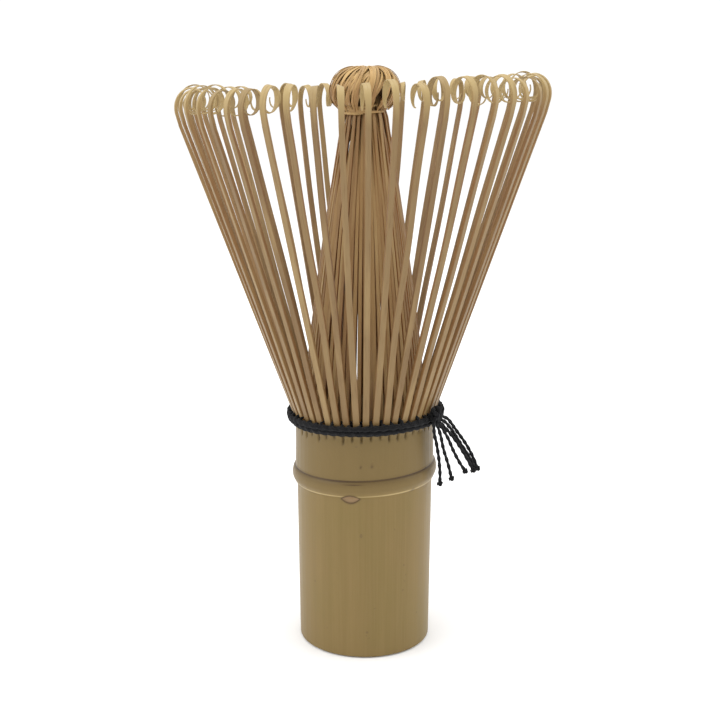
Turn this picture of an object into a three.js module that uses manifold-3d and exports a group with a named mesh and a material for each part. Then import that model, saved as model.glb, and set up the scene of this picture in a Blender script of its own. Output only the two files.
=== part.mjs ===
// Bamboo tea whisk. One bamboo culm is split at its top into a ring of outer tines and a bundle of
// inner tines. Cotton thread is laced between the two rings and wound round the roots, and its ends
// hang from a knot. Millimetres, +Z up, origin at the centre of the foot, the knot towards +X and -Y.
import * as THREE from "three";
import { mergeVertices } from "three/addons/utils/BufferGeometryUtils.js";
import Module from "manifold-3d";

const wasm = await Module();
wasm.setup();

const rad = THREE.MathUtils.degToRad;
const touchGap = 0.3; // between pieces that touch on the real whisk

// Culm
const culmRadius = 13.35; // at the collar, where the tines spring
const footTaper = 0.5; // how much thinner the foot is than the collar
const shaftTaper = 0.15; // and the shaft just under the node
const culmWall = 2.6;
const footRounding = 0.3;
const nodeHeight = 33.8; // middle of the swollen node
const nodeProud = 0.65; // how far the node stands out past the collar
const nodeSwell = 2; // from the middle of the node to its edge
const diaphragm = 2; // wall that closes the culm inside the node
const collarHeight = 8.4; // from the middle of the node to the floor of the saw slits
const collarWall = 3;
const culmSides = 48;

// Outer tines
const outerCount = 48;
const ringTurn = -2.4; // degrees, of the whole ring of tines round the culm
const sawCut = 0.5; // between neighbouring tines at their roots
const shoulderWidth = 1.05;
const outerRootThickness = 0.62;
const outerTipThickness = 0.3;
const outerRootLength = 1.6; // upright stretch before the tine leans out
const flare = 19.3; // degrees from upright
const outerStraight = 59.3;
const shoulderLength = 5;
const shoulderLean = 8; // degrees from upright where the curl begins
const curlStartRadius = 2.85;
const curlEndRadius = 2.05;
const curlTurn = 325; // degrees
const curlSteps = 11;

// Inner tines
const innerCount = 36;
const innerWidth = 0.9;
const innerThickness = 0.55;
const laceGap = 0.75; // between the outer tines' inner faces and the inner tines at their roots
const innerRootLength = 3.6;
const innerFirstLean = -4; // degrees, leaning in
const innerLastLean = -14.5;
const innerLength = 57.5;
const innerSteps = 4;
const rootRingHeight = 1.6;
const rootRingWall = 1.5;

// Cap of curled inner tips
const capOverhang = 3.1; // past the neck that the inner tines meet at
const capHeight = 3.9; // from the widest place to the top
const capUnderside = 2.6;
const neckLength = 2;
const neckTuck = 0.1; // the neck's face behind the tines' outer faces
const capSwirls = 24;
const capSwirlDepth = 0.22;

// Thread
const threadDiameter = 0.55;
const bandHeight = 2.7;
const bandRise = 2.4; // from the collar's top to the lower edge of the wound thread
const bandThickness = 0.62;
const laceRadius = 0.62; // of the laced roll's own section
const laceRise = 6.1; // from the collar's top to the laced roll's middle
const knotAngle = -31; // degrees from +X
const knotSize = [1.5, 4, 2.9]; // radial, round the band, upright
const knotRise = 1.6; // of the knot's middle above the band's
const endKnotDiameter = 1;

// Routes of the thread ends, from the knot's middle to the last knot on each end.
const threadEnds = [
  [[-0.9, -1.5, -1.1], [-1, -0.9, -2.6], [-0.8, -0.2, -4.4], [-0.3, 0.3, -6.4], [0.2, 0.6, -9.2],
    [0.4, 0.9, -12], [0.4, 1.1, -14.4]],
  [[-0.5, -0.9, -1.6], [-0.2, -0.3, -2.7], [0.5, 0.2, -4.9], [1.1, 0.8, -7.6], [1.8, 1.2, -10.2],
    [2.7, 1.6, -13.6]],
  [[-0.2, -0.3, -1.8], [0.6, 0.1, -2.9], [1.9, 1, -5.4], [3, 1.7, -8.3], [4.2, 2, -10.6],
    [5.4, 2.2, -12.4]],
  [[0.2, 0.3, -1.8], [1, 0.8, -2.9], [2.5, 1.8, -5], [4.3, 2.5, -7.7], [5.8, 2.7, -10.2],
    [6.9, 2.9, -12.5]],
  [[0.5, 0.9, -1.6], [1.4, 1.6, -2.5], [2.9, 2.8, -4.7], [4.6, 3.5, -7.4], [6.1, 3.9, -10],
    [7.3, 4.2, -12.6]],
  [[0.8, 1.4, -1.2], [1.9, 2.4, -2.1], [3.5, 3.8, -4.5], [5.1, 4.7, -7], [6.5, 5.2, -9.6],
    [8, 5.4, -13]],
];

const finishes = {
  culm: { color: 0x9c8656, roughness: 0.42, metalness: 0 },
  tine: { color: 0xa98f62, roughness: 0.55, metalness: 0 },
  innerTine: { color: 0xa1824f, roughness: 0.6, metalness: 0 },
  thread: { color: 0x17171b, roughness: 0.95, metalness: 0 },
};

const whisk = new THREE.Group();
const upright = new THREE.Matrix4().makeRotationX(Math.PI / 2); // turns a geometry's +Y to +Z

function addPiece(name, geometry, finish) {
  const piece = new THREE.Mesh(geometry, new THREE.MeshStandardMaterial(finishes[finish]));
  piece.name = name;
  whisk.add(piece);
  return piece;
}

// A geometry as a solid for joining: only positions, with shared corners merged.
function solidOf(geometry) {
  const bare = geometry.clone();
  bare.deleteAttribute("normal");
  bare.deleteAttribute("uv");
  const merged = mergeVertices(bare, 1e-4);
  return new wasm.Manifold(
    new wasm.Mesh({
      numProp: 3,
      vertProperties: merged.attributes.position.array,
      triVerts: new Uint32Array(merged.index.array),
    }),
  );
}

function geometryOf(solid) {
  const mesh = solid.getMesh();
  const geometry = new THREE.BufferGeometry();
  geometry.setAttribute("position", new THREE.BufferAttribute(mesh.vertProperties, 3));
  geometry.setIndex(new THREE.BufferAttribute(mesh.triVerts, 1));
  geometry.computeVertexNormals();
  return geometry;
}

function joined(geometries) {
  return geometryOf(geometries.map(solidOf).reduce((whole, next) => whole.add(next)));
}

// A profile of [radius, height] points turned round the Z axis.
function turned(profile, sides) {
  const points = profile.map(([radius, height]) => new THREE.Vector2(radius, height));
  return new THREE.LatheGeometry(points, sides).applyMatrix4(upright);
}

// Points on an arc of an ellipse in the radius-height plane, from one angle to another in degrees.
function arc([radius, height], [across, up], from, to, steps) {
  const points = [];
  for (let i = 0; i <= steps; i++) {
    const angle = rad(from + ((to - from) * i) / steps);
    points.push([radius + across * Math.cos(angle), height + up * Math.sin(angle)]);
  }
  return points;
}

// Walks a line in the radius-height plane. Each stretch has a length, a bend per millimetre at its
// start and at its end, in radians and positive towards the axis, and a number of steps.
function walk([radius, height], stretches) {
  const line = [{ radius, height, lean: 0, along: 0 }];
  let lean = 0;
  let along = 0;
  for (const { length, bend = [0, 0], turn = 0, steps = 1 } of stretches) {
    lean -= turn;
    for (let i = 0; i < steps; i++) {
      const step = length / steps;
      const middle = (i + 0.5) / steps;
      const change = (bend[0] + (bend[1] - bend[0]) * middle) * step;
      radius += step * Math.sin(lean - change / 2);
      height += step * Math.cos(lean - change / 2);
      lean -= change;
      along += step;
      line.push({ radius, height, lean, along });
    }
  }
  return line;
}

// A strip cut flat from the culm's wall: its outer face follows the line, its thickness tapers along
// the line, and its width tapers from the root to a height.
function strip(line, thickness, width, narrowAbove) {
  const whole = line[line.length - 1].along;
  const inner = line.map(({ radius, height, lean, along }) => {
    const thick = thickness[0] + (thickness[1] - thickness[0]) * (along / whole);
    return [radius - thick * Math.cos(lean), height + thick * Math.sin(lean)];
  });
  const outline = line.map(({ radius, height }) => [radius, height]).concat(inner.reverse());
  const shape = new THREE.Shape(outline.map(([x, y]) => new THREE.Vector2(x, y)));
  const geometry = new THREE.ExtrudeGeometry(shape, { depth: 1, bevelEnabled: false, steps: 1 });
  const foot = line[0].height;
  const position = geometry.attributes.position;
  for (let i = 0; i < position.count; i++) {
    const rise = THREE.MathUtils.clamp((position.getY(i) - foot) / (narrowAbove - foot), 0, 1);
    const wide = width[0] + (width[1] - width[0]) * rise;
    position.setZ(i, (position.getZ(i) - 0.5) * wide);
  }
  return geometry.applyMatrix4(upright);
}

function turnedBy(geometry, angle) {
  return geometry.clone().rotateZ(angle);
}

// ---- culm: hollow handle, node with its diaphragm, and the collar that the tines spring from
const collarTop = nodeHeight + collarHeight;
const rootZ = collarTop + touchGap;
const grooveZ = nodeHeight + nodeSwell;
function makeCulm() {
  const footRadius = culmRadius - footTaper;
  const shaftTop = culmRadius - shaftTaper;
  const bore = footRadius - culmWall;
  const profile = [
    [0, nodeHeight - diaphragm / 2],
    [bore, nodeHeight - diaphragm / 2],
    [bore, 0],
    ...arc([footRadius - footRounding, footRounding], [footRounding, footRounding], -90, 0, 3),
    ...arc([shaftTop, nodeHeight], [nodeProud + shaftTaper, nodeSwell], -90, 80, 7),
    [culmRadius - 0.05, grooveZ],
    [culmRadius + 0.15, grooveZ + 0.9],
    [culmRadius, collarTop - 2],
    [culmRadius, collarTop],
    [culmRadius - collarWall, collarTop],
    [culmRadius - collarWall, nodeHeight + diaphragm / 2],
    [0, nodeHeight + diaphragm / 2],
  ];
  addPiece("culm", turned(profile, culmSides), "culm");
}

// ---- outer tines: one strip each, flared, bent in at the shoulder and curled
function makeOuterTines() {
  const lean = rad(flare);
  const line = walk([culmRadius, rootZ], [
    { length: outerRootLength },
    { length: outerStraight, turn: -lean },
    { length: shoulderLength, bend: Array(2).fill((lean - rad(shoulderLean)) / shoulderLength), steps: 3 },
    {
      length: rad(curlTurn) / ((1 / curlStartRadius + 1 / curlEndRadius) / 2),
      bend: [1 / curlStartRadius, 1 / curlEndRadius],
      steps: curlSteps,
    },
  ]);
  const rootWidth = (2 * Math.PI * culmRadius) / outerCount - sawCut;
  const shoulderZ = rootZ + outerRootLength + outerStraight * Math.cos(lean);
  const tine = strip(line, [outerRootThickness, outerTipThickness], [rootWidth, shoulderWidth], shoulderZ);
  for (let i = 0; i < outerCount; i++) {
    const name = "outer_tine_" + String(i + 1).padStart(2, "0");
    addPiece(name, turnedBy(tine, ((i + 0.5) * 2 * Math.PI) / outerCount + rad(ringTurn)), "tine");
  }
}

// ---- inner tines: strips from a root ring, leaning in to a neck, under a swirled cap of curled tips
const innerRootRadius = culmRadius - outerRootThickness - laceGap;
function makeInnerTines() {
  const bend = rad(innerFirstLean - innerLastLean) / innerLength;
  const line = walk([innerRootRadius, rootZ], [
    { length: innerRootLength },
    { length: innerLength, turn: rad(-innerFirstLean), bend: [bend, bend], steps: innerSteps },
  ]);
  const neck = line[line.length - 1];
  const tine = strip(line, [innerThickness, innerThickness], [innerWidth, 0.35], neck.height);
  const tines = [];
  for (let i = 0; i < innerCount; i++) {
    tines.push(turnedBy(tine, (i * 2 * Math.PI) / innerCount));
  }
  const ring = turned([
    [innerRootRadius, rootZ],
    [innerRootRadius, rootZ + rootRingHeight],
    [innerRootRadius - rootRingWall, rootZ + rootRingHeight],
    [innerRootRadius - rootRingWall, rootZ],
    [innerRootRadius, rootZ],
  ], culmSides);
  const neckRadius = neck.radius - neckTuck;
  const capRadius = neckRadius + capOverhang;
  const capZ = neck.height + neckLength + capUnderside;
  const cap = turned([
    [0, neck.height - 1],
    [neckRadius, neck.height - 1],
    [neckRadius, capZ - capUnderside],
    ...arc([0, capZ], [capRadius, capUnderside], -45, 0, 3),
    ...arc([0, capZ], [capRadius, capHeight], 12, 80, 5),
    [0, capZ + capHeight],
  ], capSwirls * 2);
  const position = cap.attributes.position;
  for (let i = 0; i < position.count; i++) {
    const [x, y, z] = [position.getX(i), position.getY(i), position.getZ(i)];
    const reach = Math.hypot(x, y);
    if (reach < neckRadius + touchGap) continue;
    const wave = Math.cos(capSwirls * Math.atan2(y, x)) * capSwirlDepth;
    position.setXYZ(i, x * (1 + wave / reach), y * (1 + wave / reach), z);
  }
  addPiece("inner_tines", joined([ring, ...tines, cap]), "innerTine");
}

// ---- thread: the wound band, the roll laced between the two rings of tines, the knot and six ends
const flareSlope = Math.tan(rad(flare));
function tineFace(z) {
  return culmRadius + flareSlope * Math.max(0, z - rootZ - outerRootLength);
}

function makeBand() {
  const low = collarTop + bandRise;
  const high = low + bandHeight;
  const inside = (z) => tineFace(z) + touchGap;
  const middle = [(inside(low) + inside(high)) / 2 + 0.2, (low + high) / 2];
  const bulge = arc(middle, [bandThickness + 0.1, bandHeight / 2], -75, 75, 6);
  const profile = [[inside(low), low], ...bulge, [inside(high), high]];
  const lean = inside(high) - inside(low);
  for (const point of profile.slice(1, -1)) point[0] += (lean * (point[1] - middle[1])) / bandHeight;
  profile.push([inside(low), low]);
  addPiece("binding_thread", turned(profile, culmSides), "thread");
  return { radius: middle[0] + bandThickness + 0.1, height: middle[1] };
}

function makeLacing() {
  const z = collarTop + laceRise;
  const radius = (innerRootRadius + tineFace(z) - outerRootThickness) / 2 - touchGap;
  const roll = arc([radius, z], [laceRadius, laceRadius], -180, 180, 8);
  addPiece("lacing_thread", turned(roll, culmSides), "thread");
}

function makeKnot(band) {
  const lump = new THREE.SphereGeometry(0.5, 12, 8).scale(...knotSize);
  const reach = band.radius + touchGap + knotSize[0] / 2;
  const middle = new THREE.Vector3(reach, 0, band.height + knotRise);
  middle.applyAxisAngle(new THREE.Vector3(0, 0, 1), rad(knotAngle));
  lump.rotateZ(rad(knotAngle)).translate(middle.x, middle.y, middle.z);
  addPiece("binding_knot", geometryOf(solidOf(lump)), "thread");
  return middle;
}

function makeThreadEnds(knot) {
  const section = new THREE.Shape();
  section.absarc(0, 0, threadDiameter / 2, 0, 2 * Math.PI);
  threadEnds.forEach((route, i) => {
    const points = route.map((point) => new THREE.Vector3(...point).add(knot));
    const path = new THREE.CatmullRomCurve3(points);
    const tube = new THREE.ExtrudeGeometry(section, { steps: 12, curveSegments: 4, extrudePath: path });
    const end = new THREE.SphereGeometry(endKnotDiameter / 2, 8, 6).translate(...points.at(-1).toArray());
    addPiece("thread_end_" + (i + 1), joined([tube, end]), "thread");
  });
}

makeCulm();
makeOuterTines();
makeInnerTines();
const band = makeBand();
makeLacing();
const knot = makeKnot(band);
makeThreadEnds(knot);

export default whisk;
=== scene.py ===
import math
import bpy
import numpy as np
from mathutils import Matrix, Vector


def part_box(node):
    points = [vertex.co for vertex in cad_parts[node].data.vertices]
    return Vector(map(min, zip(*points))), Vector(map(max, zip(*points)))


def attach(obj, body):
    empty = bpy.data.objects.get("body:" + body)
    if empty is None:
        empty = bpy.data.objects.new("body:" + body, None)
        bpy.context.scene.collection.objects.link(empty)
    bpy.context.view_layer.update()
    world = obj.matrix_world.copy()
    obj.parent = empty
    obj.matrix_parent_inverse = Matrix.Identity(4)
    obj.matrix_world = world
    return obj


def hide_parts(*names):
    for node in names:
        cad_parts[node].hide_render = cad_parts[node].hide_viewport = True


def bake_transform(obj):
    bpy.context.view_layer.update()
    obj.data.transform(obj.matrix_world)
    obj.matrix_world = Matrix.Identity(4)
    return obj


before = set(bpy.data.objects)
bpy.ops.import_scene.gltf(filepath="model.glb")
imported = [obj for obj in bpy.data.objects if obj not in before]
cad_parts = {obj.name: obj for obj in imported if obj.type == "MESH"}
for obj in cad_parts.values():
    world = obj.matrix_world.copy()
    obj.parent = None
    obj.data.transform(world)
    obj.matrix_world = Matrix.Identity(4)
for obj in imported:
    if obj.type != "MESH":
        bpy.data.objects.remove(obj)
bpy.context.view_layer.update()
print("bamboo tea whisk: frame loaded")

mm = 0.001
seed = 41

# Places taken from the frame, in millimetres
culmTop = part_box("culm")[1].z / mm
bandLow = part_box("binding_thread")[0].z / mm
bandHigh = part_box("binding_thread")[1].z / mm
knotLow, knotHigh = (np.array(corner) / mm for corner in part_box("binding_knot"))
knotMiddle = (knotLow + knotHigh) / 2
outerNodes = sorted(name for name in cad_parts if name.startswith("outer_tine_"))
tineCount = len(outerNodes)

# Shape shared by the culm, the tines and the thread, in millimetres and degrees
whisk = dict(collarRadius=13.35, ringTurn=-2.4, flare=19.3, flareStart=1.9)
culmRadius = whisk["collarRadius"]
ringTurn = math.radians(whisk["ringTurn"])
coneSlope = math.tan(math.radians(whisk["flare"]))
coneStart = culmTop + whisk["flareStart"]  # height where the tines begin to lean out


# ---------- camera
# Metres and degrees, and the lens and sensor in millimetres
cameraPlace = dict(
    distance=0.2328, height=0.1127, tiltDown=13.68, turn=0.218, lens=62.2, sensor=36, nearest=0.01,
)


def addCamera(place):
    data = bpy.data.cameras.new("mainCamera")
    data.lens = place["lens"]
    data.sensor_width = place["sensor"]
    data.clip_start = place["nearest"]
    camera = bpy.data.objects.new("mainCamera", data)
    camera.location = (0, -place["distance"], place["height"])
    camera.rotation_euler = (math.radians(90 - place["tiltDown"]), 0, math.radians(place["turn"]))
    bpy.context.scene.collection.objects.link(camera)
    bpy.context.scene.camera = camera


addCamera(cameraPlace)
bpy.context.scene.view_settings.view_transform = "Standard"


# ---------- helpers for surfaces
# Smooth step: 0 before low, 1 after high, and 3t^2 - 2t^3 between.
def ease(value, low, high):
    t = np.clip((value - low) / (high - low), 0, 1)
    return t * t * (3 - 2 * t)


# Bell: 1 in the middle, and e^-1 where the offset equals the width.
def bell(offset, width):
    return np.exp(-((offset / width) ** 2))


# Each vector over its own length.
def unit(vectors):
    return vectors / np.maximum(np.linalg.norm(vectors, axis=-1, keepdims=True), 1e-9)


# Distance walked along a path up to each of its points.
def walked(path):
    return np.concatenate([[0], np.cumsum(np.linalg.norm(np.diff(path, axis=0), axis=1))])


# Angle from a centre line, wrapped to half a turn each way.
def angleFrom(angle, centre):
    return (angle - centre + np.pi) % (2 * np.pi) - np.pi


# The node was not grown square to the handle, so all above it climbs a little towards +X:
# height gains slope times x, fading in just below the node.
nodeLean = dict(slope=0.028, low=26, high=33)


def settle(points):
    points = points.copy()
    share = ease(points[..., 2], nodeLean["low"], nodeLean["high"])
    points[..., 2] += nodeLean["slope"] * points[..., 0] * share
    return points


# A grid of points, rows along and columns round, as one closed mesh: quads between neighbours, the
# columns joined into rings, and a fan to a middle point on each end.
def gridSheet(rows, columns, start):
    here = start + np.arange(rows * columns).reshape(rows, columns)
    beside = np.roll(here, -1, axis=1)
    quads = np.stack([here[:-1], beside[:-1], beside[1:], here[1:]], -1).reshape(-1, 4)
    middle = start + rows * columns
    first = np.stack([np.full(columns, middle), beside[0], here[0]], -1)
    last = np.stack([np.full(columns, middle + 1), here[-1], beside[-1]], -1)
    return quads, np.concatenate([first, last])


crispAngle = 32  # degrees between faces, past which an edge of a crisp piece is sharp


# Gathers closed surfaces and makes one mesh of them.
class Builder:
    def __init__(self):
        self.points = []
        self.quads = []
        self.triangles = []
        self.uv = []
        self.values = {}
        self.count = 0

    # surface is rows x columns x 3 in millimetres, uv is rows x columns x 2, values are rows x columns
    def add(self, surface, uv, **values):
        rows, columns = surface.shape[:2]
        quads, triangles = gridSheet(rows, columns, self.count)
        ends = np.stack([surface[0].mean(0), surface[-1].mean(0)])
        self.points += [surface.reshape(-1, 3), ends]
        self.quads.append(quads)
        self.triangles.append(triangles)
        self.uv += [uv.reshape(-1, 2), np.stack([uv[0].mean(0), uv[-1].mean(0)])]
        for name, value in values.items():
            full = np.broadcast_to(value, (rows, columns))
            self.values.setdefault(name, [])
            self.values[name] += [full.reshape(-1), np.array([full[0].mean(), full[-1].mean()])]
        self.count += rows * columns + 2

    def mesh(self, name, material, crisp=False):
        points = settle(np.concatenate(self.points)) * mm
        quads = np.concatenate(self.quads)
        triangles = np.concatenate(self.triangles)
        mesh = bpy.data.meshes.new(name)
        mesh.from_pydata(points.tolist(), [], quads.tolist() + triangles.tolist())
        corners = np.concatenate([quads.reshape(-1), triangles.reshape(-1)])
        layer = mesh.uv_layers.new(name="UVMap")
        layer.data.foreach_set("uv", np.concatenate(self.uv)[corners].astype(np.float32).ravel())
        for key, parts in self.values.items():
            attribute = mesh.attributes.new(key, "FLOAT", "POINT")
            attribute.data.foreach_set("value", np.concatenate(parts).astype(np.float32))
        mesh.polygons.foreach_set("use_smooth", np.full(len(mesh.polygons), True))
        mesh.materials.append(material)
        mesh.update()
        if crisp:
            mesh.set_sharp_from_angle(angle=math.radians(crispAngle))
        piece = bpy.data.objects.new(name, mesh)
        bpy.context.scene.collection.objects.link(piece)
        return piece


# ---------- helpers for materials
def newMaterial(name, roughness, specular):
    material = bpy.data.materials.new(name)
    material.use_nodes = True
    tree = material.node_tree
    shader = next(n for n in tree.nodes if n.type == "BSDF_PRINCIPLED")
    shader.inputs["Roughness"].default_value = roughness
    shader.inputs["Specular IOR Level"].default_value = specular
    return material, tree, shader


# Links a socket to an input, or sets the input to a number or a colour.
def feed(tree, socket, value):
    if isinstance(value, bpy.types.NodeSocket):
        tree.links.new(value, socket)
    elif hasattr(value, "__len__") and len(value) == 3 and socket.type == "RGBA":
        socket.default_value = (*value, 1)
    else:
        socket.default_value = value


def times(tree, value, factor):
    step = tree.nodes.new("ShaderNodeMath")
    step.operation = "MULTIPLY"
    feed(tree, step.inputs[0], value)
    feed(tree, step.inputs[1], factor)
    return step.outputs[0]


# Smooth step of a value from low to high, as a number from toLow to toHigh.
def rangeOf(tree, value, low, high, toLow=0.0, toHigh=1.0):
    step = tree.nodes.new("ShaderNodeMapRange")
    step.interpolation_type = "SMOOTHSTEP"
    for i, number in enumerate((value, low, high, toLow, toHigh)):
        feed(tree, step.inputs[i], number)
    return step.outputs[0]


def mixColour(tree, share, a, b):
    step = tree.nodes.new("ShaderNodeMix")
    step.data_type = "RGBA"
    feed(tree, step.inputs[0], share)
    feed(tree, step.inputs[6], a)
    feed(tree, step.inputs[7], b)
    return step.outputs[2]


def attributeOf(tree, name):
    step = tree.nodes.new("ShaderNodeAttribute")
    step.attribute_name = name
    return step.outputs["Fac"]


noiseRoughness = 0.55


# Noise on the object's own coordinates or on its UV map, stretched by scale along each axis.
def noise(tree, scale, detail, source="Object"):
    where = tree.nodes.new("ShaderNodeTexCoord")
    stretch = tree.nodes.new("ShaderNodeMapping")
    stretch.inputs["Scale"].default_value = scale
    tree.links.new(where.outputs[source], stretch.inputs["Vector"])
    step = tree.nodes.new("ShaderNodeTexNoise")
    step.inputs["Scale"].default_value = 1
    step.inputs["Detail"].default_value = detail
    step.inputs["Roughness"].default_value = noiseRoughness
    tree.links.new(stretch.outputs[0], step.inputs["Vector"])
    return step.outputs["Fac"]


def bump(tree, shader, height, distance, strength):
    step = tree.nodes.new("ShaderNodeBump")
    step.inputs["Strength"].default_value = strength
    step.inputs["Distance"].default_value = distance
    feed(tree, step.inputs["Height"], height)
    tree.links.new(step.outputs[0], shader.inputs["Normal"])


culmFinish = dict(
    roughness=0.42, specular=0.28, smoothest=0.36, roughest=0.5, bumpDistance=0.00006, bumpStrength=0.35,
    fibreScale=(2600, 2600, 45), broadScale=(420, 420, 14), blotchScale=(110, 110, 70),
    speckScale=(900, 900, 900),
    olive=(0.183, 0.122, 0.039), tan=(0.203, 0.136, 0.046), blotch=(0.176, 0.125, 0.036),
    fibre=(0.27, 0.185, 0.08), collar=(0.145, 0.096, 0.031), pale=(0.5, 0.38, 0.18),
    brown=(0.05, 0.025, 0.009), scarCore=(0.26, 0.165, 0.09), inside=(0.36, 0.27, 0.14),
    speck=(0.13, 0.085, 0.035), blotchMost=0.6, fibreMost=0.16, collarMost=0.7, speckMost=0.6,
)


# Bamboo skin on the culm: olive tan, fine upright fibre lines, broad faint blotches, a darker collar,
# a brown groove line, shade painted into the saw slits, a pale line painted along the bead as a highlight
# and a brown ringed bud scar; the inside is paler wood.
def culmMaterial():
    f = culmFinish
    material, tree, shader = newMaterial("culmSkin", f["roughness"], f["specular"])
    fibre = noise(tree, f["fibreScale"], 4.0)
    broad = noise(tree, f["broadScale"], 2.0)
    blotch = noise(tree, f["blotchScale"], 3.0)
    specks = noise(tree, f["speckScale"], 1.0)
    base = mixColour(tree, rangeOf(tree, broad, 0.2, 0.8), f["olive"], f["tan"])
    base = mixColour(tree, rangeOf(tree, blotch, 0.3, 0.75, 0.0, f["blotchMost"]), base, f["blotch"])
    base = mixColour(tree, rangeOf(tree, fibre, 0.35, 0.75, 0.0, f["fibreMost"]), base, f["fibre"])
    base = mixColour(tree, times(tree, attributeOf(tree, "collar"), f["collarMost"]), base, f["collar"])
    # the pale line is a painted highlight along the bead; brown also holds shade painted into the saw slits
    for mark in ("pale", "brown", "scarCore", "inside"):
        base = mixColour(tree, attributeOf(tree, mark), base, f[mark])
    base = mixColour(tree, rangeOf(tree, specks, 0.74, 0.8, 0.0, f["speckMost"]), base, f["speck"])
    tree.links.new(base, shader.inputs["Base Color"])
    feed(tree, shader.inputs["Roughness"], rangeOf(tree, fibre, 0.3, 0.7, f["smoothest"], f["roughest"]))
    bump(tree, shader, fibre, f["bumpDistance"], f["bumpStrength"])
    return material


stripFinish = dict(
    roughness=0.5, specular=0.4, smoothest=0.42, roughest=0.6, bumpDistance=0.00005, bumpStrength=0.4,
    fibreScale=(9, 0.22, 1), patchScale=(0.8, 0.06, 1),
    paleTone=(0.42, 0.3, 0.135), patch=(0.36, 0.245, 0.1),
    tipMost=0.9, paleMost=0.35, darkMost=0.45, patchMost=0.45, fibreMost=0.55,
)
outerColours = dict(
    skin=(0.215, 0.135, 0.053), core=(0.225, 0.114, 0.038), tip=(0.43, 0.315, 0.132),
    shadow=(0.12, 0.058, 0.018),
)
innerColours = dict(
    skin=(0.25, 0.142, 0.046), core=(0.235, 0.088, 0.022), tip=(0.57, 0.37, 0.14),
    shadow=(0.15, 0.066, 0.019),
)


# Split bamboo: the skin side is olive tan, the core side redder and darker, and the shaved tip pale; on the
# inner cap's top the tip share also holds painted light. Each strip has its own tone, with pale patches and
# dark fibres along it.
def stripMaterial(name, colours):
    f = stripFinish
    material, tree, shader = newMaterial(name, f["roughness"], f["specular"])
    fibre = noise(tree, f["fibreScale"], 4.0, "UV")
    patch = noise(tree, f["patchScale"], 2.0, "UV")
    tone = attributeOf(tree, "tone")
    base = mixColour(tree, attributeOf(tree, "skin"), colours["core"], colours["skin"])
    tip = rangeOf(tree, attributeOf(tree, "tip"), 0.0, 1.0, 0.0, f["tipMost"])
    base = mixColour(tree, tip, base, colours["tip"])
    base = mixColour(tree, rangeOf(tree, tone, 0.5, 1.0, 0.0, f["paleMost"]), base, f["paleTone"])
    base = mixColour(tree, rangeOf(tree, tone, 0.5, 0.0, 0.0, f["darkMost"]), base, colours["shadow"])
    base = mixColour(tree, rangeOf(tree, patch, 0.45, 0.8, 0.0, f["patchMost"]), base, f["patch"])
    base = mixColour(tree, rangeOf(tree, fibre, 0.5, 0.8, 0.0, f["fibreMost"]), base, colours["shadow"])
    tree.links.new(base, shader.inputs["Base Color"])
    feed(tree, shader.inputs["Roughness"], rangeOf(tree, fibre, 0.3, 0.7, f["smoothest"], f["roughest"]))
    bump(tree, shader, fibre, f["bumpDistance"], f["bumpStrength"])
    return material


threadFinish = dict(
    roughness=0.95, specular=0.12, sheen=0.06, sheenRoughness=0.6, bumpDistance=0.0001, bumpStrength=0.6,
    twistScale=(7, 2.2, 1), lintScale=(5200, 5200, 5200),
    black=(0.004, 0.004, 0.0045), worn=(0.012, 0.012, 0.013), lint=(0.035, 0.035, 0.037), lintMost=0.5,
)


# Black cotton: nearly black with paler fibres and a soft sheen.
def threadMaterial():
    f = threadFinish
    material, tree, shader = newMaterial("blackCotton", f["roughness"], f["specular"])
    twist = noise(tree, f["twistScale"], 3.0, "UV")
    lint = noise(tree, f["lintScale"], 2.0)
    base = mixColour(tree, rangeOf(tree, twist, 0.35, 0.7), f["black"], f["worn"])
    base = mixColour(tree, rangeOf(tree, lint, 0.62, 0.8, 0.0, f["lintMost"]), base, f["lint"])
    tree.links.new(base, shader.inputs["Base Color"])
    shader.inputs["Sheen Weight"].default_value = f["sheen"]
    shader.inputs["Sheen Roughness"].default_value = f["sheenRoughness"]
    bump(tree, shader, twist, f["bumpDistance"], f["bumpStrength"])
    return material


culmSkin = culmMaterial()
outerBamboo = stripMaterial("outerBamboo", outerColours)
innerBamboo = stripMaterial("innerBamboo", innerColours)
blackCotton = threadMaterial()
print("bamboo tea whisk: materials made")


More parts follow.
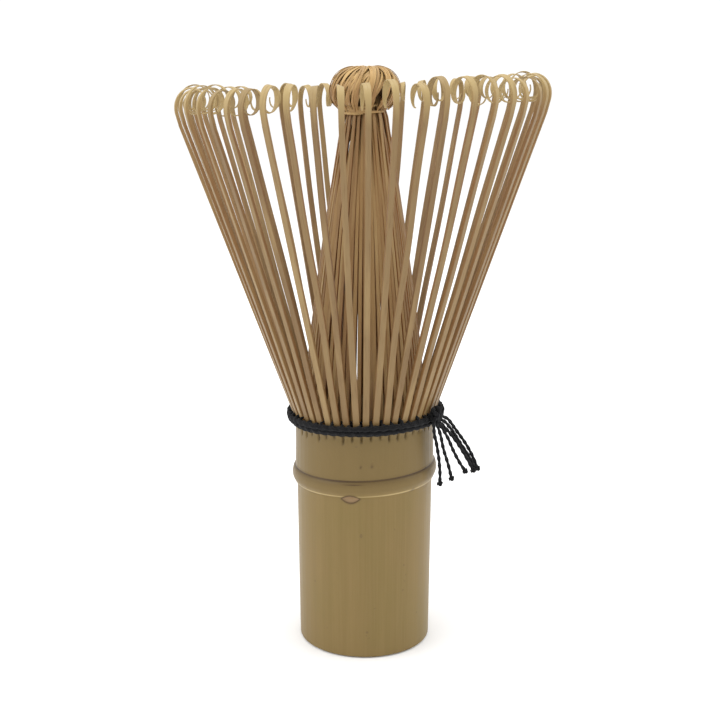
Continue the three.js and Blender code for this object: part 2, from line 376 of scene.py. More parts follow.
# ---------- culm
culm = dict(
    foot=12.85, shaftTop=13.15, collarFoot=13.45, collarBelowTop=0.02, taperHeights=(0, 31.5, 36.6, 40),
    wall=2.6, rounding=0.25, roundingRows=7, columns=576,
    outsideRows=((1.2, 30, 26), (30.2, 37.4, 62), (37.8, 41.2, 8), (41.4, 46.0, 24)),  # from, to, rows
    cup=10.35, cupRows=(46.0, 41, 38), cupFloor=34.8, cupFillet=0.4, boreRows=(24, 16, 8),
    boreTop=32.8, boreBevel=0.3, fillet=0.6, floorMiddle=5, axis=0.05,
    oval=0.0035, ovalTurn=0.6, threeSided=0.0018, threeTurn=1.9,
    ridge=34.25, ridgeBelow=1.6, ridgeAbove=2.2, ridgeProud=0.72, bead=0.09,
    groove=36.0, grooveWidth=0.2, grooveDepth=0.22, grooveLineWidth=0.19,
    shadeBelow=1.6, shadeAbove=0.1, shadeMost=0.3,
    secondBelow=0.52, secondWidth=0.13, secondAngle=-98.594, secondReach=0.16, secondMost=0.95,
    # the bead's height and width, then the height and width of the pale line painted along it as a highlight
    paleLine=32.95, paleWidth=0.2, paleInk=33.0, paleInkWidth=0.13,
    slitFoot=1.0, slitScatter=0.55, slitFade=0.9, slitWidth=0.17, slitDepth=0.55,
    scarAngle=-101.5, scarHeight=32.45, scarHalfWide=1.75, scarHalfTall=0.8,
    # the last number here is how strongly shade is painted into the saw slits
    scarRimWidth=0.3, scarRimProud=0.06, scarSunk=0.1, scarCoreMost=0.7, scarRimMost=0.85, slitShadeMost=0.5,
    spots=((-48, 32.9, 0.55, 0.28), (-84, 38.9, 0.3, 0.3), (-93, 38.8, 0.2, 0.2)),  # angle, height, size
    spotMost=0.7, extraLean=0.014, leanRise=(31, 34), leanFall=(37.5, 41), collarRise=(33.2, 34.2),
)


# Outer radius against height: straight taper to the node, a ridge of 1 - u^2 over it, a narrow bell
# groove above, a fine bead at the ridge's foot, then the collar and the start of the cone of tines.
def culmOuter(height):
    c = culm
    radii = [c["foot"], c["shaftTop"], c["collarFoot"], culmRadius + c["collarBelowTop"], culmRadius]
    base = np.interp(height, [*c["taperHeights"], coneStart], radii)
    base = base + coneSlope * np.maximum(height - coneStart, 0)
    reach = np.where(height < c["ridge"], c["ridgeBelow"], c["ridgeAbove"])
    u = np.clip(np.abs(height - c["ridge"]) / reach, 0, 1)
    base = base + c["ridgeProud"] * (1 - u * u)
    base = base + c["bead"] * bell(height - c["paleLine"], c["paleWidth"])
    return base - c["grooveDepth"] * bell(height - c["groove"], c["grooveWidth"])


# The culm's profile as radius and height: from the axis under the diaphragm down the bore, round the
# foot, up the outside, and from the collar's top down the cup inside it to the diaphragm's upper face.
# With it comes 1 for each point on the outside and 0 for the rest.
def culmProfile():
    c = culm
    bore = c["foot"] - c["wall"]
    boreLine = [[c["axis"], c["boreTop"]], [c["floorMiddle"], c["boreTop"]]]
    boreLine += [[bore - c["fillet"], c["boreTop"]], [bore, c["boreTop"] - c["fillet"]]]
    boreLine += [[bore, height] for height in c["boreRows"]]
    boreLine += [[bore, c["boreBevel"]], [bore + c["boreBevel"], 0.0]]
    turn = np.linspace(-np.pi / 2, 0, c["roundingRows"])
    footRadius = c["foot"] - c["rounding"] * (1 - np.cos(turn))
    footLine = np.stack([footRadius, c["rounding"] * (1 + np.sin(turn))], -1)
    heights = np.concatenate([np.linspace(*span) for span in c["outsideRows"]])
    outside = np.stack([culmOuter(heights), heights], -1)
    cupLine = [[c["cup"], height] for height in c["cupRows"]]
    cupLine += [[c["cup"], c["cupFloor"] + c["cupFillet"]], [c["cup"] - c["fillet"], c["cupFloor"]]]
    cupLine += [[c["floorMiddle"], c["cupFloor"]], [c["axis"], c["cupFloor"]]]
    profile = np.array(boreLine + footLine.tolist() + outside.tolist() + cupLine)
    isOutside = np.zeros(len(profile))
    isOutside[len(boreLine) : len(profile) - len(cupLine)] = 1
    return profile, isOutside


# The culm is its profile carried round the axis, with slits, scar and lines laid on the outside.
def makeCulm():
    c = culm
    generator = np.random.default_rng(seed)
    profile, isOutside = culmProfile()
    radius = np.repeat(profile[:, :1], c["columns"], 1)
    height = np.repeat(profile[:, 1:], c["columns"], 1)
    around = np.broadcast_to(np.arange(c["columns"]) / c["columns"] * 2 * np.pi, radius.shape)
    skin = isOutside[:, None]

    # the grown culm is not quite round
    twoSided = c["oval"] * np.cos(2 * around + c["ovalTurn"])
    threeSided = c["threeSided"] * np.cos(3 * around + c["threeTurn"])
    radius = radius * (1 + skin * (twoSided + threeSided))

    # saw slits between the tines, each ending at its own height
    pitch = 2 * np.pi / tineCount
    gap = np.round((around - ringTurn) / pitch).astype(int)
    offset = (around - ringTurn - gap * pitch) * radius
    gap = gap % tineCount
    slitFeet = culmTop + c["slitFoot"] + generator.uniform(-c["slitScatter"], c["slitScatter"], tineCount)
    slit = bell(offset, c["slitWidth"]) * ease(height, slitFeet[gap], slitFeet[gap] + c["slitFade"]) * skin
    radius = radius - c["slitDepth"] * slit

    # bud scar: an almond where |dz|/tall + (ds/wide)^2 is under 1, sunk a little inside a raised rim
    sideways = angleFrom(around, math.radians(c["scarAngle"])) * radius
    almond = np.abs(height - c["scarHeight"]) / c["scarHalfTall"] + (sideways / c["scarHalfWide"]) ** 2
    rim = bell(almond - 1, c["scarRimWidth"]) * skin
    core = (1 - ease(almond, 0.75, 1.0)) * skin
    radius = radius + c["scarRimProud"] * rim - c["scarSunk"] * core

    # brown: the groove's line, the shade below it, a short second line at the front, shade painted into the
    # saw slits, and small spots
    grooveLine = bell(height - c["groove"], c["grooveLineWidth"])
    grooveLine = grooveLine * (0.85 + 0.15 * np.sin(3 * around + 1) ** 2)
    shade = ease(height, c["groove"] - c["shadeBelow"], c["groove"]) * c["shadeMost"]
    shade = shade * (1 - ease(height, c["groove"], c["groove"] + c["shadeAbove"]))
    front = bell(angleFrom(around, math.radians(c["secondAngle"])), c["secondReach"])
    second = bell(height - c["groove"] + c["secondBelow"], c["secondWidth"]) * front * c["secondMost"]
    # the slit term is shade painted into the saw slits
    marks = [grooveLine, shade, second, rim * c["scarRimMost"], slit * c["slitShadeMost"]]
    for spotAngle, spotHeight, wide, tall in c["spots"]:
        side = angleFrom(around, math.radians(spotAngle)) * radius
        marks.append(bell(side, wide) * bell(height - spotHeight, tall) * c["spotMost"])
    brown = np.clip(np.maximum.reduce(marks) * skin, 0, 1)

    # painted highlight: a pale line along the bead at the ridge's foot, kept off the scar
    pale = bell(height - c["paleInk"], c["paleInkWidth"]) * skin * ease(almond, 0.9, 1.5)
    pale = pale * (0.75 + 0.25 * np.sin(5 * around + 0.5))
    collar = ease(height, *c["collarRise"]) * skin
    tilt = c["extraLean"] * ease(height, *c["leanRise"]) * (1 - ease(height, *c["leanFall"])) * skin
    x = radius * np.cos(around)
    surface = np.stack([x, radius * np.sin(around), height + tilt * x], -1)
    uv = np.stack([around * culmRadius, height], -1)
    scarCore = core * c["scarCoreMost"]
    built = Builder()
    built.add(surface, uv, brown=brown, pale=pale, scarCore=scarCore, collar=collar, inside=1 - skin)
    piece = built.mesh("culm_body", culmSkin)
    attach(piece, "whisk")
    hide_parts("culm")


makeCulm()
print("bamboo tea whisk: culm made")


# ---------- strips
# Corners of a flat strip's section, each with a narrow chamfer, as shares of its width and thickness,
# in the order that turns its faces outwards.
stripSection = np.array([
    (0.44, -0.5), (-0.44, -0.5), (-0.5, -0.38), (-0.5, 0.38),
    (-0.44, 0.5), (0.44, 0.5), (0.5, 0.38), (0.5, -0.38),
])
strip = dict(cornerUv=0.4, lengthUv=7, broadFace=0.45)


# Walks a line in the radius-height plane: at each distance the lean is the first lean less the bend
# added up so far, and the place is the direction added up.
def walkLine(radius, height, lean, distance, bend):
    step = np.diff(distance, prepend=distance[0])
    turned = np.cumsum((bend + np.roll(bend, 1)) / 2 * step)
    leans = lean - turned
    middle = (leans + np.concatenate([[lean], leans[:-1]])) / 2
    return radius + np.cumsum(np.sin(middle) * step), height + np.cumsum(np.cos(middle) * step)


# A strip: the section is set across the line at each station. The line is given by its radius, height
# and azimuth, and sway moves it sideways. Width runs round the whisk, thickness inwards from the line,
# and roll turns the section about the line; an upright strip has its width upright. offset moves the
# grain, and back is how far the inner face looks like skin.
def addStrip(built, line, width, thickness, roll, tip, tone, offset, back, upright=False):
    azimuth, radius, height, sway = line
    c, s = np.cos(azimuth), np.sin(azimuth)
    spine = np.stack([radius * c - sway * s, radius * s + sway * c, height], -1)
    forward = unit(np.gradient(spine, axis=0))
    around = np.stack([-s, c, np.zeros_like(s)], -1)
    if upright:
        around = np.broadcast_to(np.array([0.0, 0.0, 1.0]), spine.shape)
    normal = unit(np.cross(around, forward))
    side = unit(np.cross(forward, normal))
    cosine, sine = np.cos(roll)[:, None], np.sin(roll)[:, None]
    side, normal = cosine * side + sine * normal, cosine * normal - sine * side
    across = stripSection[None, :, 0] * width[:, None]
    deep = (stripSection[None, :, 1] - 0.5) * thickness[:, None]
    surface = spine[:, None] + across[..., None] * side[:, None] + deep[..., None] * normal[:, None]
    cornerUv = np.arange(len(stripSection))[None, ::-1] * strip["cornerUv"] + offset
    lengthUv = walked(spine)[:, None] + strip["lengthUv"] * offset
    uv = np.stack(np.broadcast_arrays(cornerUv, lengthUv), -1)
    isBack = stripSection[:, 1] < -strip["broadFace"]
    isFront = stripSection[:, 1] > strip["broadFace"]
    skin = np.broadcast_to(isFront + isBack * back, across.shape)
    built.add(surface, uv, skin=skin, tip=tip[:, None], tone=tone)


outer = dict(
    foot=45.3, hidden=0.25, width=1.22, shoulderWidth=0.98, curlWidth=1.2, tipWidth=0.22,
    thickness=0.72, shoulderThickness=0.6, tipThickness=0.17, back=0.65,
    straight=62.0, frontLonger=0.55, rightLonger=0.75, straightRows=26, curlRows=56,
    curlOpen=4.2, curlMiddle=2.6, curlTight=1.75, curlReach=2.55, size=0.98, sizeRange=(0.88, 1.08),
    turnRange=(290, 430), frontTurnLess=70, driftRange=(0.7, 1.15), paleBelow=5, paleAbove=6,
    azimuthScatter=0.006, leanScatter=0.35, leanMost=0.8, straightScatter=0.2, straightMost=0.35,
    sizeScatter=0.06, bowScatter=0.25, toneScatter=0.22, waveScatter=0.1,
    rollScatter=0.05, twistScatter=0.1, curlTwistScatter=0.18, grainStep=3.7,
    bendFrom=0.0463, bendTo=0.0763, bendOut=0.0105,  # metres
)


# One outer tine: a straight lean, a bend in at the shoulder that tightens into a curl, drifting
# sideways so that the curl is a loose helix, and a tip shaved thin and pointed.
def makeOuterTine(index, node, generator):
    o = outer
    jitter = generator.normal
    azimuth = (index + 0.5) * 2 * math.pi / tineCount + ringTurn + jitter(0, o["azimuthScatter"])
    lean = math.radians(whisk["flare"] + np.clip(jitter(0, o["leanScatter"]), -o["leanMost"], o["leanMost"]))
    facing = -math.sin(azimuth)  # 1 at the front, -1 at the back
    rightward = ease(math.cos(azimuth), 0.12, 0.55)
    straight = np.clip(jitter(0, o["straightScatter"]), -o["straightMost"], o["straightMost"])
    straight = o["straight"] + straight + o["frontLonger"] * facing + o["rightLonger"] * rightward
    turn = math.radians(generator.uniform(*o["turnRange"]) - o["frontTurnLess"] * max(facing, 0) ** 3)
    size = np.clip(jitter(o["size"], o["sizeScatter"]), *o["sizeRange"])
    drift = -generator.uniform(*o["driftRange"])  # round the whisk, clockwise from above
    bow = jitter(0, o["bowScatter"])
    tone = np.clip(jitter(0.5, o["toneScatter"]), 0, 1)

    reach = size * turn * o["curlReach"]
    lower = np.linspace(0, straight, o["straightRows"])[:-1]
    distance = np.concatenate([lower, straight + np.linspace(0, reach, o["curlRows"])])
    share = np.clip((distance - straight) / reach, 0, 1)  # 0 up to the shoulder, 1 at the tip
    along = np.clip(distance / straight, 0, 1)  # 0 at the foot, 1 from the shoulder on
    opening = 1 / (o["curlOpen"] * size)
    middle = 1 / (o["curlMiddle"] * size)
    tight = 1 / (o["curlTight"] * size)
    bend = opening + (middle - opening) * ease(share, 0.05, 0.4) + (tight - middle) * ease(share, 0.45, 1)
    bend = bend * ease(distance, straight - 1.5, straight + 1.2)
    footRadius = culmRadius + coneSlope * (o["foot"] - coneStart) - o["hidden"]
    radius, height = walkLine(footRadius, o["foot"], lean, distance, bend)
    wave = jitter(0, o["waveScatter"]) * np.sin(along * math.pi)
    wave = wave * np.sin(along * 3 * math.pi + generator.uniform(0, 6))
    sway = bow * np.sin(along * math.pi) + wave + drift * ease(share, 0.05, 0.9)
    width = np.interp(along, [0, 1], [o["width"], o["shoulderWidth"]])
    width = width + (o["curlWidth"] - o["shoulderWidth"]) * ease(share, 0.02, 0.3)
    width = width + (o["tipWidth"] - o["curlWidth"]) * ease(share, 0.55, 1.0)
    thickness = np.interp(along, [0, 1], [o["thickness"], o["shoulderThickness"]])
    thickness = thickness + (o["tipThickness"] - o["shoulderThickness"]) * ease(share, 0.0, 0.35)
    roll = jitter(0, o["rollScatter"]) + jitter(0, o["twistScatter"]) * along
    roll = roll + jitter(0, o["curlTwistScatter"]) * share
    tip = ease(distance, straight - o["paleBelow"], straight + o["paleAbove"])
    line = (np.full_like(distance, azimuth), radius, height, sway)
    built = Builder()
    addStrip(built, line, width, thickness, roll, tip, tone, index * o["grainStep"], o["back"])
    piece = built.mesh(node + "_bamboo", outerBamboo, crisp=True)
    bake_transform(piece)
    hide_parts(node)


def makeOuterTines():
    generator = np.random.default_rng(seed + 1)
    for index, node in enumerate(outerNodes):
        makeOuterTine(index, node, generator)


makeOuterTines()
print("bamboo tea whisk: outer tines made")


inner = dict(
    count=70, fillers=100, width=0.82, neckWidth=0.56, capWidth=0.42, tipWidth=0.1,
    thickness=0.42, neckThickness=0.24, tipThickness=0.1, back=0.1, step=0.45, coneSkip=5, fillerSkip=3,
    spread=0.618, depthPower=1.7, deepest=0.65, conePower=9, azimuthScatter=0.01,
    buried=(0, 0.13), fillerBuried=(0.06, 0.24), liningBuried=(0.27, 0.36), liningEvery=3, liningWider=1.5,
    swirl=(0.15, 1.0), fillerSwirl=(-0.3, 1.7), capStart=0.3, capStartShare=0.25, rise=105.3, riseOut=0.15,
    tuckRadius=4.5, tuckDraw=0.5, tuckHeight=103.1, tuckScatter=0.6,
    swayScatter=0.12, rollScatter=0.06, twistScatter=0.1, capTwistScatter=0.15, tone=0.45, toneScatter=0.36,
    # the first two below are the heights over which light is painted onto the cap's top
    paleFrom=106, paleTo=110.5, grainStep=5.3,
)
# Radius and height of the cone's skin, and of the cap's skin over a tine from the neck's middle.
coneLine = np.array([
    (11.95, 43.4), (11.8, 46), (10.6, 60), (8.3, 77), (6.75, 87), (5.45, 95), (4.95, 98), (4.5, 100.5),
    (4.2, 102.4),
])
capLine = np.array([
    (0.75, 108.6), (0.95, 110.4), (1.9, 111.1), (3.5, 110.95), (5.1, 110.1), (6.2, 108.6), (6.6, 106.8),
    (6.2, 105.0), (5.1, 103.8),
])
capMiddle = np.array([3.3, 107.4])
pathSteps = 24  # places worked out between each two points of a smooth path


# A smooth curve through chosen points, spaced evenly: Catmull-Rom between each two points.
def smoothPath(points, step):
    points = np.asarray(points, float)
    padded = np.concatenate([2 * points[:1] - points[1:2], points, 2 * points[-1:] - points[-2:-1]])
    t = np.linspace(0, 1, pathSteps, endpoint=False)[:, None]
    spans = []
    for a, b, c, d in zip(padded[:-3], padded[1:-2], padded[2:-1], padded[3:]):
        cubic = (2 * a - 5 * b + 4 * c - d) * t**2 + (3 * b - a - 3 * c + d) * t**3
        spans.append(0.5 * (2 * b + (c - a) * t + cubic))
    dense = np.concatenate(spans + [points[-1:]])
    distance = walked(dense)
    even = np.linspace(0, distance[-1], max(int(distance[-1] / step), 4))
    return np.stack([np.interp(even, distance, column) for column in dense.T], -1)


# One inner tine: it leans in along the hollow cone to its own place in the neck, rises towards the
# axis, goes over the cap and tucks under, swirling round the axis as it goes. depth is 0 at the neck's
# skin and 1 near its middle; buried is how far the strand lies drawn in from the cap's skin towards
# the cap's middle. A filler is only the part of such a tine above the neck, and every few fillers is a
# lining: it lies deeper and is wider, and closes the gaps between the others.
def addInnerTine(built, index, generator, filler=False):
    n = inner
    jitter = generator.normal
    around = n["fillers"] if filler else n["count"]
    azimuth = (index + 0.5) * 2 * math.pi / around + jitter(0, n["azimuthScatter"])
    depth = (index * n["spread"] % 1) ** n["depthPower"]
    skinRadius = coneLine[-1, 0]
    neck = skinRadius * (1 - n["deepest"] * depth)
    share = (coneLine[:, 0] - skinRadius) / (coneLine[0, 0] - skinRadius)
    coneRadius = coneLine[:, 0] - (skinRadius - neck) * (1 - share) ** n["conePower"]
    cone = np.stack([coneRadius, coneLine[:, 1]], -1)
    buried = generator.uniform(*(n["fillerBuried"] if filler else n["buried"]))
    lining = filler and index % n["liningEvery"] == 0
    if lining:
        buried = generator.uniform(*n["liningBuried"])
    cap = capMiddle + (capLine - capMiddle) * (1 - buried)
    cap[0, 0] = n["capStart"] + n["capStartShare"] * neck
    rise = [((neck + cap[0, 0]) / 2 + n["riseOut"], n["rise"])]
    tuckHeight = n["tuckHeight"] + generator.uniform(0, n["tuckScatter"])
    tuck = [(n["tuckRadius"] - n["tuckDraw"] * depth, tuckHeight)]
    path = smoothPath(np.concatenate([cone, rise, cap, tuck]), n["step"])
    neckStation = int(np.argmax(path[:, 1] > coneLine[-1, 1]))
    kept = np.concatenate([np.arange(0, neckStation, n["coneSkip"]), np.arange(neckStation, len(path))])
    if filler:
        kept = np.arange(neckStation + n["fillerSkip"], len(path))
    radius, height = path[kept].T
    stations = kept * n["step"]
    rootLength = neckStation * n["step"]
    # past is 0 up to the neck and 1 at the tip; along is 0 at the root and 1 from the neck on
    past = np.clip((stations - rootLength) / (stations[-1] - rootLength), 0, 1)
    along = np.clip(stations / rootLength, 0, 1)
    swirl = generator.uniform(*(n["fillerSwirl"] if filler else n["swirl"]))
    turned = azimuth - swirl * ease(past, 0.2, 1.0)
    sway = jitter(0, n["swayScatter"]) * np.sin(along * math.pi) * (1 - past)
    width = np.interp(along, [0, 1], [n["width"], n["neckWidth"]])
    width = width + (n["capWidth"] - n["neckWidth"]) * ease(past, 0.3, 0.6)
    width = width + (n["tipWidth"] - n["capWidth"]) * ease(past, 0.88, 1.0)
    thickness = np.interp(along, [0, 1], [n["thickness"], n["neckThickness"]])
    thickness = thickness + (n["tipThickness"] - n["neckThickness"]) * ease(past, 0, 0.5)
    roll = jitter(0, n["rollScatter"]) + jitter(0, n["twistScatter"]) * along
    roll = roll + jitter(0, n["capTwistScatter"]) * past
    if lining:
        width = width * (1 + n["liningWider"] * ease(past, 0, 0.2))
    tone = np.clip(jitter(n["tone"], n["toneScatter"]), 0, 1)
    # the shaved end is pale, and the tip share grows with height over the cap: painted light on the cap's
    # top
    tip = ease(past, 0.1, 0.5) * (0.5 + 0.5 * ease(height, n["paleFrom"], n["paleTo"]))
    line = (turned, radius, height, sway)
    addStrip(built, line, width, thickness, roll, tip, tone, index * n["grainStep"], n["back"])


wrap = dict(
    count=6, stations=40, reach=(1.6, 2.8), height=102.9, rise=0.2, tilt=1.6, radius=4.4, grow=0.07,
    endsIn=0.9, width=0.42, tipWidth=0.05, thickness=0.2, roll=0.1, tip=0.45, tone=(0.2, 0.8),
    grainStep=3.1, back=0.65,
)


# Ends of tines laid round the neck under the cap, tilted a little, their tips drawn in.
def addWraps(built, generator):
    w = wrap
    share = np.linspace(0, 1, w["stations"])
    even = np.ones(w["stations"])
    swell = np.sin(share * math.pi)
    for index in range(w["count"]):
        start = generator.uniform(0, 2 * math.pi)
        azimuth = start - share * generator.uniform(*w["reach"])
        tilt = generator.uniform(-w["tilt"], w["tilt"])
        height = w["height"] + index * w["rise"] + tilt * (share - 0.5)
        radius = w["radius"] + w["grow"] * index - w["endsIn"] * (1 - swell) ** 2
        width = w["width"] * swell**0.4 + w["tipWidth"]
        tone = generator.uniform(*w["tone"])
        line = (azimuth, radius, height, 0 * even)
        addStrip(
            built, line, width, w["thickness"] * even, w["roll"] * even, w["tip"] * even, tone,
            index * w["grainStep"], w["back"], upright=True,
        )


def makeInnerTines():
    generator = np.random.default_rng(seed + 2)
    built = Builder()
    for index in range(inner["count"]):
        addInnerTine(built, index, generator)
    for index in range(inner["fillers"]):
        addInnerTine(built, index, generator, filler=True)
    addWraps(built, generator)
    piece = built.mesh("inner_bundle", innerBamboo, crisp=True)
    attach(piece, "whisk")
    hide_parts("inner_tines")


makeInnerTines()
print("bamboo tea whisk: inner tines made")


# ---------- thread
thread = dict(radius=0.36, columns=10, twistPitch=1.7, lobe=0.2, step=0.2, aroundUv=0.4, twistUv=0.2)


# Twisted thread along a path: round the path the radius is r (1 + lobe cos(2 angle - twist)), which
# gives two strands laid round each other. outward is a direction that is never along the path.
def addThread(built, path, outward, radius=thread["radius"], pitch=thread["twistPitch"]):
    t = thread
    distance = walked(path)[:, None]
    forward = unit(np.gradient(path, axis=0))
    normal = unit(outward - (outward * forward).sum(-1, keepdims=True) * forward)
    side = np.cross(forward, normal)
    angle = np.arange(t["columns"]) / t["columns"] * 2 * np.pi
    twist = 2 * np.pi / pitch * distance
    size = radius * (1 + t["lobe"] * np.cos(2 * angle - twist))[..., None]
    ring = np.cos(angle)[:, None] * normal[:, None] + np.sin(angle)[:, None] * side[:, None]
    uv = np.stack(np.broadcast_arrays(angle * t["aroundUv"] - twist * t["twistUv"], distance), -1)
    built.add(path[:, None] + size * ring, uv)


# A direction for each point of a path.
def alike(direction, path):
    return np.tile(direction, (len(path), 1))


# Points at a reach from the axis, and the directions outwards through them.
def ringPath(angle, reach, height):
    outward = np.stack([np.cos(angle), np.sin(angle), 0 * angle], -1)
    return reach[..., None] * outward + height[..., None] * np.array([0, 0, 1]), outward


band = dict(
    turns=4.6, start=-33, overStart=-25, lowShare=0.9, highShare=0.75, sink=0.02, density=14.6,
    wander=0.09, wanderWaves=5, wanderTurn=1.7, sideDrop=0.28, tinePress=0.05,
    crossing=(-0.3, 0.4, 0.34), upper=(-0.2, -0.75, 0.3),  # start and end from the band's edges, proud
)


# The wound band: one thread goes round several times, climbing a thread's width each turn while it
# follows the cone of tines, and wanders a little; two slanting turns lie over it.
def makeBand():
    b = band
    built = Builder()
    generator = np.random.default_rng(seed + 3)
    radius = thread["radius"]
    low = bandLow + radius * b["lowShare"]
    high = bandHigh - radius * b["highShare"]

    def addTurns(count, startDegrees, first, last, proud):
        start = math.radians(startDegrees)
        angle = np.linspace(0, count * 2 * np.pi, int(count * 2 * np.pi * b["density"] / thread["step"]))
        height = np.interp(angle, [0, angle[-1]], [first, last])
        for k in range(1, b["wanderWaves"] + 1):
            phase = generator.uniform(0, 6)
            height = height + b["wander"] * np.sin(k * b["wanderTurn"] * angle + phase) / k
        height = height - b["sideDrop"] * (1 + np.cos(2 * (angle + start))) / 2
        reach = culmRadius + coneSlope * (height - coneStart) + radius + b["sink"] + proud
        reach = reach + b["tinePress"] * np.sin(tineCount * angle)
        path, outward = ringPath(angle + start, reach, height)
        addThread(built, path, outward)

    addTurns(b["turns"], b["start"], low, high, 0.0)
    fromHigh, fromLow, proud = b["crossing"]
    addTurns(1.0, b["overStart"], high + fromHigh, low + fromLow, proud)
    fromHigh, toHigh, proud = b["upper"]
    addTurns(1.0, b["overStart"], high + fromHigh, high + toHigh, proud)
    piece = built.mesh("binding_wound", blackCotton)
    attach(piece, "whisk")
    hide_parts("binding_thread")


lacing = dict(
    rolls=((12.75, 46.0), (12.95, 46.6), (12.7, 47.1)), rollStations=420, waves=((7, 0.12), (13, 0.08)),
    stitch=((14.8, 46.1, 0), (14.65, 46.6, 0), (14.25, 47.0, 1), (13.5, 47.2, 1), (12.7, 47.1, 0)),
    stitchRadius=0.3, stitchStep=0.25, topScatter=(-0.3, 0.25), slant=0.02,
)


# The lacing: rolls inside the outer tines, and between each two tines a stitch from the band's top
# edge in over the rolls. A stitch's points are radius, height, and how far its top's scatter moves it.
def makeLacing():
    built = Builder()
    generator = np.random.default_rng(seed + 4)
    (slowWaves, slowHigh), (fastWaves, fastHigh) = lacing["waves"]
    angle = np.linspace(0, 2 * np.pi, lacing["rollStations"])
    for reach, height in lacing["rolls"]:
        wave = height + slowHigh * np.sin(slowWaves * angle + reach) + fastHigh * np.sin(fastWaves * angle)
        path, outward = ringPath(angle, np.full_like(angle, reach), wave)
        addThread(built, path, outward)
    reach, height, moved = np.array(lacing["stitch"]).T
    for index in range(tineCount):
        azimuth = index * 2 * math.pi / tineCount + ringTurn
        top = generator.uniform(*lacing["topScatter"])
        slant = generator.uniform(-lacing["slant"], lacing["slant"])
        points = ringPath(azimuth + slant * np.arange(len(reach)), reach, height + top * moved)[0]
        path = smoothPath(points, lacing["stitchStep"])
        across = np.array([-math.sin(azimuth), math.cos(azimuth), 0.0])
        addThread(built, path, alike(across, path), radius=lacing["stitchRadius"])
    piece = built.mesh("lacing_laced", blackCotton)
    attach(piece, "whisk")
    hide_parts("lacing_thread")


trefoilStations = 150


# A knot's line: a trefoil, sin t + 2 sin 2t against cos t - 2 cos 2t, with -sin 3t for depth.
def trefoil(middle, size, depth, out, side, up):
    t = np.linspace(0, 2 * np.pi, trefoilStations)[:, None]
    across = (np.sin(t) + 2 * np.sin(2 * t)) * size
    upward = (np.cos(t) - 2 * np.cos(2 * t)) * size
    return middle + across * side + upward * up - np.sin(3 * t) * depth * out


knot = dict(
    sunk=0.35, size=0.42, depth=0.45, wide=1.25, tall=0.9, coreRadius=0.34,
    rings=((-0.75, 0.5), (0.05, -0.3), (0.8, 0.35)), ringDepth=0.72, ringStations=60, ringRadius=0.33,
    links=(-0.45, 0.45), linkStart=14.2, linkDrop=1.1, linkSpread=1.6, linkClose=0.5, linkStep=0.15,
)


# The knot: a trefoil with three tilted rings round it, and the two threads that come out of the band
# into it.
def makeKnot():
    k = knot
    built = Builder()
    out = unit(np.array([knotMiddle[0], knotMiddle[1], 0]))
    side = np.array([-out[1], out[0], 0])
    up = np.array([0, 0, 1.0])
    middle = knotMiddle - out * k["sunk"]
    path = trefoil(middle, k["size"], k["depth"], out, side * k["wide"], up * k["tall"])
    addThread(built, path, alike(out, path), radius=k["coreRadius"])
    t = np.linspace(0, 2 * np.pi, k["ringStations"])[:, None]
    for shift, tilt in k["rings"]:
        ring = middle + side * shift + np.cos(t) * (up + side * tilt) + np.sin(t) * out * k["ringDepth"]
        addThread(built, ring, alike(side, ring), radius=k["ringRadius"])
    inBand = out * k["linkStart"] + up * (middle[2] - k["linkDrop"])
    for shift in k["links"]:
        points = [
            inBand + side * shift * k["linkSpread"],
            (inBand + middle) / 2 + side * shift,
            middle + side * shift * k["linkClose"],
        ]
        link = smoothPath(points, k["linkStep"])
        addThread(built, link, alike(side, link), radius=k["ringRadius"])
    piece = built.mesh("binding_tied_knot", blackCotton)
    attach(piece, "whisk")
    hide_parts("binding_knot")


# Routes of the thread ends from the knot's middle, in millimetres, as the frame's own solids lie.
threadRoutes = [
    [(-0.9, -1.5, -1.1), (-1, -0.9, -2.6), (-0.8, -0.2, -4.4), (-0.3, 0.3, -6.4), (0.2, 0.6, -9.2),
     (0.4, 0.9, -12), (0.4, 1.1, -14.4)],
    [(-0.5, -0.9, -1.6), (-0.2, -0.3, -2.7), (0.5, 0.2, -4.9), (1.1, 0.8, -7.6), (1.8, 1.2, -10.2),
     (2.7, 1.6, -13.6)],
    [(-0.2, -0.3, -1.8), (0.6, 0.1, -2.9), (1.9, 1, -5.4), (3, 1.7, -8.3), (4.2, 2, -10.6),
     (5.4, 2.2, -12.4)],
    [(0.2, 0.3, -1.8), (1, 0.8, -2.9), (2.5, 1.8, -5), (4.3, 2.5, -7.7), (5.8, 2.7, -10.2),
     (6.9, 2.9, -12.5)],
    [(0.5, 0.9, -1.6), (1.4, 1.6, -2.5), (2.9, 2.8, -4.7), (4.6, 3.5, -7.4), (6.1, 3.9, -10),
     (7.3, 4.2, -12.6)],
    [(0.8, 1.4, -1.2), (1.9, 2.4, -2.1), (3.5, 3.8, -4.5), (5.1, 4.7, -7), (6.5, 5.2, -9.6),
     (8, 5.4, -13)],
]
threadEnd = dict(
    radius=0.31, pitch=1.5, step=0.16, inKnot=0.35, wobble=0.06, wobbleTurn=9, wobbleAlong=(0.9, 0.3, 0),
    outward=(0.3, -0.95, 0.1), knotAcross=(0.2, 1.0, 0.1), knotSize=0.13, knotDepth=0.17, knotLong=1.5,
    knotRadius=0.22, knotPitch=1.0, headingFrom=6,
)


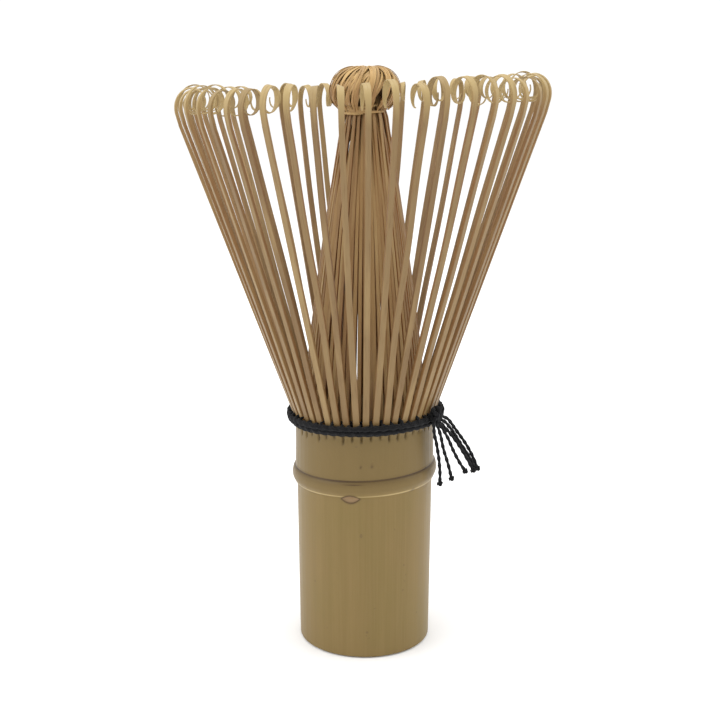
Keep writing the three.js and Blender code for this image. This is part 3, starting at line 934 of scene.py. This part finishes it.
# A thread end: twisted thread along its route, which wobbles a little, with a small trefoil at its end.
def makeThreadEnds():
    e = threadEnd
    generator = np.random.default_rng(seed + 5)
    for number, route in enumerate(threadRoutes, 1):
        built = Builder()
        points = np.array([route[0], *route])
        points[0] *= e["inKnot"]
        path = smoothPath(points + knotMiddle, e["step"])
        wobble = np.sin(np.linspace(0, e["wobbleTurn"], len(path)) + generator.uniform(0, 6))
        path = path + e["wobble"] * wobble[:, None] * np.array(e["wobbleAlong"])
        addThread(built, path, alike(np.array(e["outward"]), path), radius=e["radius"], pitch=e["pitch"])
        along = unit(path[-1] - path[-e["headingFrom"]])
        side = unit(np.cross(along, np.array(e["knotAcross"])))
        other = np.cross(along, side)
        tied = trefoil(path[-1], e["knotSize"], e["knotDepth"], along * e["knotLong"], side, other)
        addThread(built, tied, alike(along, tied), radius=e["knotRadius"], pitch=e["knotPitch"])
        piece = built.mesh(f"thread_end_{number}_twisted", blackCotton)
        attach(piece, "whisk")
        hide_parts(f"thread_end_{number}")


makeBand()
makeLacing()
makeKnot()
makeThreadEnds()
print("bamboo tea whisk: thread made")


# ---------- floor and light
floorPlan = dict(
    reach=6, squeeze=3, lines=25, below=0.0002, roughness=0.75, specular=0.2, grainScale=(60, 60, 60),
    dark=(0.94, 0.94, 0.94), light=(0.96, 0.96, 0.96),
)


def floorMaterial():
    f = floorPlan
    material, tree, shader = newMaterial("paleFloor", f["roughness"], f["specular"])
    grain = noise(tree, f["grainScale"], 3.0)
    tree.links.new(mixColour(tree, grain, f["dark"], f["light"]), shader.inputs["Base Color"])
    return material


# A wide flat pale floor: a grid whose lines lie at sinh of even steps, so it thins out to its edge.
def makeFloor():
    f = floorPlan
    steps = np.sinh(np.linspace(-f["squeeze"], f["squeeze"], f["lines"]))
    steps = steps / math.sinh(f["squeeze"]) * f["reach"]
    x, y = np.meshgrid(steps, steps)
    points = np.stack([x, y, np.full_like(x, -f["below"])], -1)
    index = np.arange(x.size).reshape(x.shape)
    faces = np.stack([index[:-1, :-1], index[:-1, 1:], index[1:, 1:], index[1:, :-1]], -1).reshape(-1, 4)
    mesh = bpy.data.meshes.new("pale_floor")
    mesh.from_pydata(points.reshape(-1, 3).tolist(), [], faces.tolist())
    mesh.materials.append(floorMaterial())
    floor = bpy.data.objects.new("pale_floor", mesh)
    bpy.context.scene.collection.objects.link(floor)


lights = [
    dict(name="sideLeft", place=(-0.55, -0.15, 0.42), size=0.6, power=1.5),
    dict(name="sideRight", place=(0.55, -0.05, 0.38), size=0.6, power=1.0),
    dict(name="topSoft", place=(0.0, 0.05, 0.8), size=0.6, power=2.0),
]
studio = dict(white=1.08, lightsMeet=(0, 0, 0.06))


def makeLights():
    for light in lights:
        data = bpy.data.lights.new(light["name"], "AREA")
        data.shape = "DISK"
        data.size = light["size"]
        data.energy = light["power"]
        lamp = bpy.data.objects.new(light["name"], data)
        lamp.location = light["place"]
        x, y, z = np.array(studio["lightsMeet"]) - np.array(light["place"])
        lamp.rotation_euler = (math.acos(-z / math.hypot(x, y, z)), 0, math.atan2(y, x) - math.pi / 2)
        bpy.context.scene.collection.objects.link(lamp)
    world = bpy.data.worlds.new("softStudio")
    world.use_nodes = True
    background = world.node_tree.nodes["Background"]
    background.inputs["Color"].default_value = (1, 1, 1, 1)
    background.inputs["Strength"].default_value = studio["white"]
    bpy.context.scene.world = world


makeFloor()
makeLights()
print("bamboo tea whisk: floor and light made")
